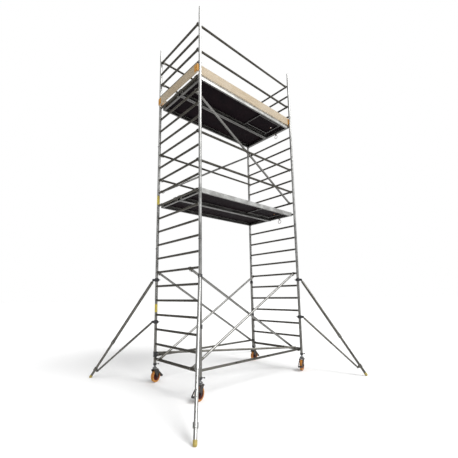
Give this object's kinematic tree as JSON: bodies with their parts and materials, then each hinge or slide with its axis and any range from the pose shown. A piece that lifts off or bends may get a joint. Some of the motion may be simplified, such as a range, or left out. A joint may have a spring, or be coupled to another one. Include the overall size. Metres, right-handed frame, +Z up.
{
  "type": "mobile tower scaffold",
  "caption": "Aluminium access tower on braked castors, with ladder frames, braces, decks with hatches, guardrails, toe boards and outrigger stabilisers.",
  "frame": {"origin": "on the floor at the centre of the tower", "axes": "+X along the decks, towards the hatch end; +Y across the decks; +Z up"},
  "size_m": [4.2446, 3.517, 6.44],
  "materials": {
    "aluminium": "drawn tube, satin",
    "platform_aluminium": "extruded, satin",
    "cast_grey": "sand-cast",
    "dark_steel": "worn paint",
    "deck_ply": "phenolic film",
    "zinc_steel": "zinc plated",
    "rusty_steel": "rusted",
    "toe_board_ply": "plain plywood",
    "amber_plastic": "moulded",
    "castor_housing": "pressed and painted",
    "wheel_tyre": "cast polyurethane",
    "wheel_hub": "moulded",
    "foot_rubber": "worn rubber",
    "yellow_label": "plain label"
  },
  "bodies": {
    "tower": {"brace_claws": "cast_grey", "brace_couplers": "dark_steel", "castor_adjusting_nuts": "dark_steel", "diagonals_lower": "aluminium", "diagonals_upper": "aluminium", "frame_1_lower": "aluminium", "frame_1_middle": "aluminium", "frame_1_upper": "aluminium", "frame_2_lower": "aluminium", "frame_2_middle": "aluminium", "frame_2_upper": "aluminium", "frame_lock_clips": "zinc_steel", "frame_spigots": "aluminium", "guardrails_lower": "aluminium", "guardrails_upper": "aluminium", "hatch_hinges": "zinc_steel", "horizontal_braces": "aluminium", "lower_hatch_platform_deck": "deck_ply", "lower_hatch_platform_frame": "platform_aluminium", "lower_plain_platform_deck": "deck_ply", "lower_plain_platform_frame": "platform_aluminium", "platform_hooks": "cast_grey", "toe_board_clips": "amber_plastic", "toe_boards": "toe_board_ply", "upper_hatch_platform_deck": "deck_ply", "upper_hatch_platform_frame": "platform_aluminium", "upper_plain_platform_deck": "deck_ply", "upper_plain_platform_frame": "platform_aluminium"},
    "castor_a_spindle": {"castor_a_spindle": "zinc_steel"},
    "castor_a_fork": {"castor_a_fork": "castor_housing"},
    "castor_a_wheel": {"castor_a_wheel": "wheel_tyre"},
    "castor_a_pedal": {"castor_a_pedal": "castor_housing"},
    "stabiliser_a_arm": {"stabiliser_a_arm": "aluminium", "stabiliser_a_couplers": "dark_steel"},
    "stabiliser_a_foot_leg": {"stabiliser_a_foot_leg": "aluminium"},
    "castor_b_spindle": {"castor_b_spindle": "zinc_steel"},
    "castor_b_fork": {"castor_b_fork": "castor_housing"},
    "castor_b_wheel": {"castor_b_wheel": "wheel_tyre"},
    "castor_b_pedal": {"castor_b_pedal": "castor_housing"},
    "stabiliser_b_arm": {"stabiliser_b_arm": "aluminium", "stabiliser_b_couplers": "dark_steel"},
    "stabiliser_b_foot_leg": {"stabiliser_b_foot_leg": "aluminium"},
    "castor_c_spindle": {"castor_c_spindle": "zinc_steel"},
    "castor_c_fork": {"castor_c_fork": "castor_housing"},
    "castor_c_wheel": {"castor_c_wheel": "wheel_tyre"},
    "castor_c_pedal": {"castor_c_pedal": "castor_housing"},
    "stabiliser_c_arm": {"stabiliser_c_arm": "aluminium", "stabiliser_c_couplers": "dark_steel"},
    "stabiliser_c_foot_leg": {"stabiliser_c_foot_leg": "aluminium"},
    "castor_d_spindle": {"castor_d_spindle": "zinc_steel"},
    "castor_d_fork": {"castor_d_fork": "castor_housing"},
    "castor_d_wheel": {"castor_d_wheel": "wheel_tyre"},
    "castor_d_pedal": {"castor_d_pedal": "castor_housing"},
    "stabiliser_d_arm": {"stabiliser_d_arm": "aluminium", "stabiliser_d_couplers": "dark_steel"},
    "stabiliser_d_foot_leg": {"stabiliser_d_foot_leg": "aluminium"},
    "lower_hatch_lid": {"lower_hatch_lid": "deck_ply"},
    "lower_wind_lock": {"lower_wind_lock": "rusty_steel"},
    "upper_hatch_lid": {"upper_hatch_lid": "deck_ply"},
    "upper_wind_lock": {"upper_wind_lock": "rusty_steel"}
  },
  "joints": [
    {"name": "castor_a_height", "type": "slide", "parent": "tower", "child": "castor_a_spindle", "axis": [0, 0, -1], "range_m": [0, 0.2]},
    {"name": "castor_a_swivel", "type": "hinge", "parent": "castor_a_spindle", "child": "castor_a_fork", "pos_m": [-1.25, 0.65, 0.244], "axis": [0, 0, 1], "continuous": true},
    {"name": "castor_a_roll", "type": "hinge", "parent": "castor_a_fork", "child": "castor_a_wheel", "pos_m": [-1.22745, 0.65821, 0.1], "axis": [-0.342, 0.9397, 0], "continuous": true},
    {"name": "castor_a_brake", "type": "hinge", "parent": "castor_a_fork", "child": "castor_a_pedal", "pos_m": [-1.19644, 0.66949, 0.178], "axis": [-0.342, 0.9397, 0], "range_deg": [0, 9]},
    {"name": "castor_b_height", "type": "slide", "parent": "tower", "child": "castor_b_spindle", "axis": [0, 0, -1], "range_m": [0, 0.2]},
    {"name": "castor_b_swivel", "type": "hinge", "parent": "castor_b_spindle", "child": "castor_b_fork", "pos_m": [-1.25, -0.65, 0.244], "axis": [0, 0, 1], "continuous": true},
    {"name": "castor_b_roll", "type": "hinge", "parent": "castor_b_fork", "child": "castor_b_wheel", "pos_m": [-1.27255, -0.65821, 0.1], "axis": [0.342, -0.9397, 0], "continuous": true},
    {"name": "castor_b_brake", "type": "hinge", "parent": "castor_b_fork", "child": "castor_b_pedal", "pos_m": [-1.30356, -0.66949, 0.178], "axis": [0.342, -0.9397, 0], "range_deg": [0, 9]},
    {"name": "castor_c_height", "type": "slide", "parent": "tower", "child": "castor_c_spindle", "axis": [0, 0, -1], "range_m": [0, 0.2]},
    {"name": "castor_c_swivel", "type": "hinge", "parent": "castor_c_spindle", "child": "castor_c_fork", "pos_m": [1.25, 0.65, 0.244], "axis": [0, 0, 1], "continuous": true},
    {"name": "castor_c_roll", "type": "hinge", "parent": "castor_c_fork", "child": "castor_c_wheel", "pos_m": [1.27387, 0.65251, 0.1], "axis": [-0.1045, 0.9945, 0], "continuous": true},
    {"name": "castor_c_brake", "type": "hinge", "parent": "castor_c_fork", "child": "castor_c_pedal", "pos_m": [1.30669, 0.65596, 0.178], "axis": [-0.1045, 0.9945, 0], "range_deg": [0, 9]},
    {"name": "castor_d_height", "type": "slide", "parent": "tower", "child": "castor_d_spindle", "axis": [0, 0, -1], "range_m": [0, 0.2]},
    {"name": "castor_d_swivel", "type": "hinge", "parent": "castor_d_spindle", "child": "castor_d_fork", "pos_m": [1.25, -0.65, 0.244], "axis": [0, 0, 1], "continuous": true},
    {"name": "castor_d_roll", "type": "hinge", "parent": "castor_d_fork", "child": "castor_d_wheel", "pos_m": [1.22759, -0.6586, 0.1], "axis": [0.3584, -0.9336, 0], "continuous": true},
    {"name": "castor_d_brake", "type": "hinge", "parent": "castor_d_fork", "child": "castor_d_pedal", "pos_m": [1.19679, -0.67043, 0.178], "axis": [0.3584, -0.9336, 0], "range_deg": [0, 9]},
    {"name": "stabiliser_a_swing", "type": "hinge", "parent": "tower", "child": "stabiliser_a_arm", "pos_m": [-1.25, 0.65, 1.385], "axis": [0, 0, 1], "range_deg": [-25, 55]},
    {"name": "stabiliser_a_extend", "type": "slide", "parent": "stabiliser_a_arm", "child": "stabiliser_a_foot_leg", "axis": [-0.3086, 0.4957, -0.8118], "range_m": [0, 0.35]},
    {"name": "stabiliser_b_swing", "type": "hinge", "parent": "tower", "child": "stabiliser_b_arm", "pos_m": [-1.25, -0.65, 1.385], "axis": [0, 0, 1], "range_deg": [-45, 30]},
    {"name": "stabiliser_b_extend", "type": "slide", "parent": "stabiliser_b_arm", "child": "stabiliser_b_foot_leg", "axis": [-0.3744, -0.4541, -0.8085], "range_m": [0, 0.35]},
    {"name": "stabiliser_c_swing", "type": "hinge", "parent": "tower", "child": "stabiliser_c_arm", "pos_m": [1.25, 0.65, 1.385], "axis": [0, 0, 1], "range_deg": [-45, 30]},
    {"name": "stabiliser_c_extend", "type": "slide", "parent": "stabiliser_c_arm", "child": "stabiliser_c_foot_leg", "axis": [0.3953, 0.3497, -0.8494], "range_m": [0, 0.35]},
    {"name": "stabiliser_d_swing", "type": "hinge", "parent": "tower", "child": "stabiliser_d_arm", "pos_m": [1.25, -0.65, 1.385], "axis": [0, 0, 1], "range_deg": [-20, 55]},
    {"name": "stabiliser_d_extend", "type": "slide", "parent": "stabiliser_d_arm", "child": "stabiliser_d_foot_leg", "axis": [0.1977, -0.4893, -0.8494], "range_m": [0, 0.35]},
    {"name": "lower_hatch", "type": "hinge", "parent": "tower", "child": "lower_hatch_lid", "pos_m": [0.4, -0.316, 3.1753], "axis": [0, -1, 0], "range_deg": [0, 105]},
    {"name": "lower_wind_lock_swing", "type": "hinge", "parent": "tower", "child": "lower_wind_lock", "pos_m": [1.222, -0.27, 3.088], "axis": [0, 1, 0], "range_deg": [-60, 60]},
    {"name": "upper_hatch", "type": "hinge", "parent": "tower", "child": "upper_hatch_lid", "pos_m": [0.4, -0.316, 5.1753], "axis": [0, -1, 0], "range_deg": [0, 105]},
    {"name": "upper_wind_lock_swing", "type": "hinge", "parent": "tower", "child": "upper_wind_lock", "pos_m": [1.222, -0.27, 5.088], "axis": [0, 1, 0], "range_deg": [-60, 60]}
  ]
}
